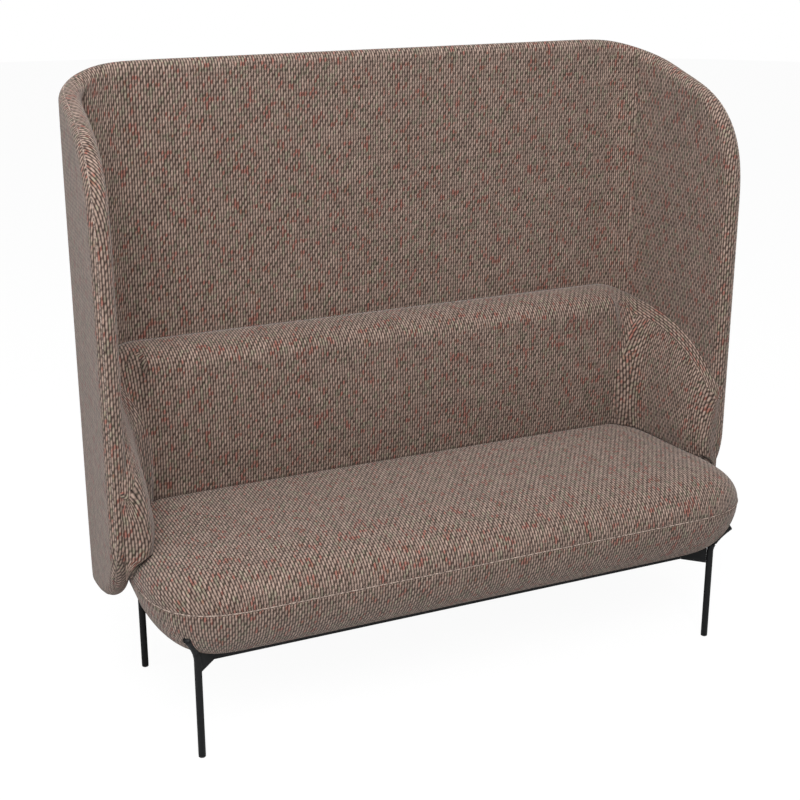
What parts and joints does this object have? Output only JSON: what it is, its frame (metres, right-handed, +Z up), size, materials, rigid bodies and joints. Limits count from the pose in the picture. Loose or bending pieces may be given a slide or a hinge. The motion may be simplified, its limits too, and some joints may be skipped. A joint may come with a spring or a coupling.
{
  "type": "two-seater sofa",
  "caption": "High-backed two-seater sofa: a bun-shaped seat with a low padded back and arms inside a tall wrap-round upholstered shell, on a slim black steel frame with rod legs.",
  "frame": {"origin": "on the floor, under the middle of the sofa's overall width and depth", "axes": "+Z up, +X to the right as seen from the front, -Y the way the sofa faces"},
  "size_m": [1.5558, 0.6453, 1.398],
  "materials": {
    "fabric": "matte",
    "foam": "matte",
    "plywood": "matte",
    "lining": "matte",
    "steel": "satin",
    "glide": "matte",
    "zinc": "satin"
  },
  "bodies": {
    "root": {"shell_inner_cover": "fabric", "shell_outer_cover": "fabric", "seat_top_cover": "fabric", "seat_lower_cover": "fabric", "seat_piping": "fabric", "pad_cover": "fabric", "shell_inner_foam": "foam", "shell_outer_foam": "foam", "seat_foam": "foam", "pad_foam": "foam", "shell_core": "plywood", "seat_board": "plywood", "pad_liner": "lining", "seat_dust_cover": "lining", "leg_front_left": "steel", "leg_front_right": "steel", "leg_rear_left": "steel", "leg_rear_right": "steel", "corner_plate_front_left": "steel", "corner_plate_front_right": "steel", "corner_plate_rear_left": "steel", "corner_plate_rear_right": "steel", "rail_front": "steel", "rail_rear": "steel", "rail_left": "steel", "rail_right": "steel", "crossbar_left": "steel", "crossbar_right": "steel", "shell_bracket_left": "steel", "shell_bracket_right": "steel", "glide_front_left": "glide", "glide_front_right": "glide", "glide_rear_left": "glide", "glide_rear_right": "glide", "seat_screw_front_left": "zinc", "seat_screw_front_right": "zinc", "seat_screw_rear_left": "zinc", "seat_screw_rear_right": "zinc", "shell_screw_left_a": "zinc", "shell_screw_left_b": "zinc", "shell_screw_right_a": "zinc", "shell_screw_right_b": "zinc"}
  },
  "joints": []
}
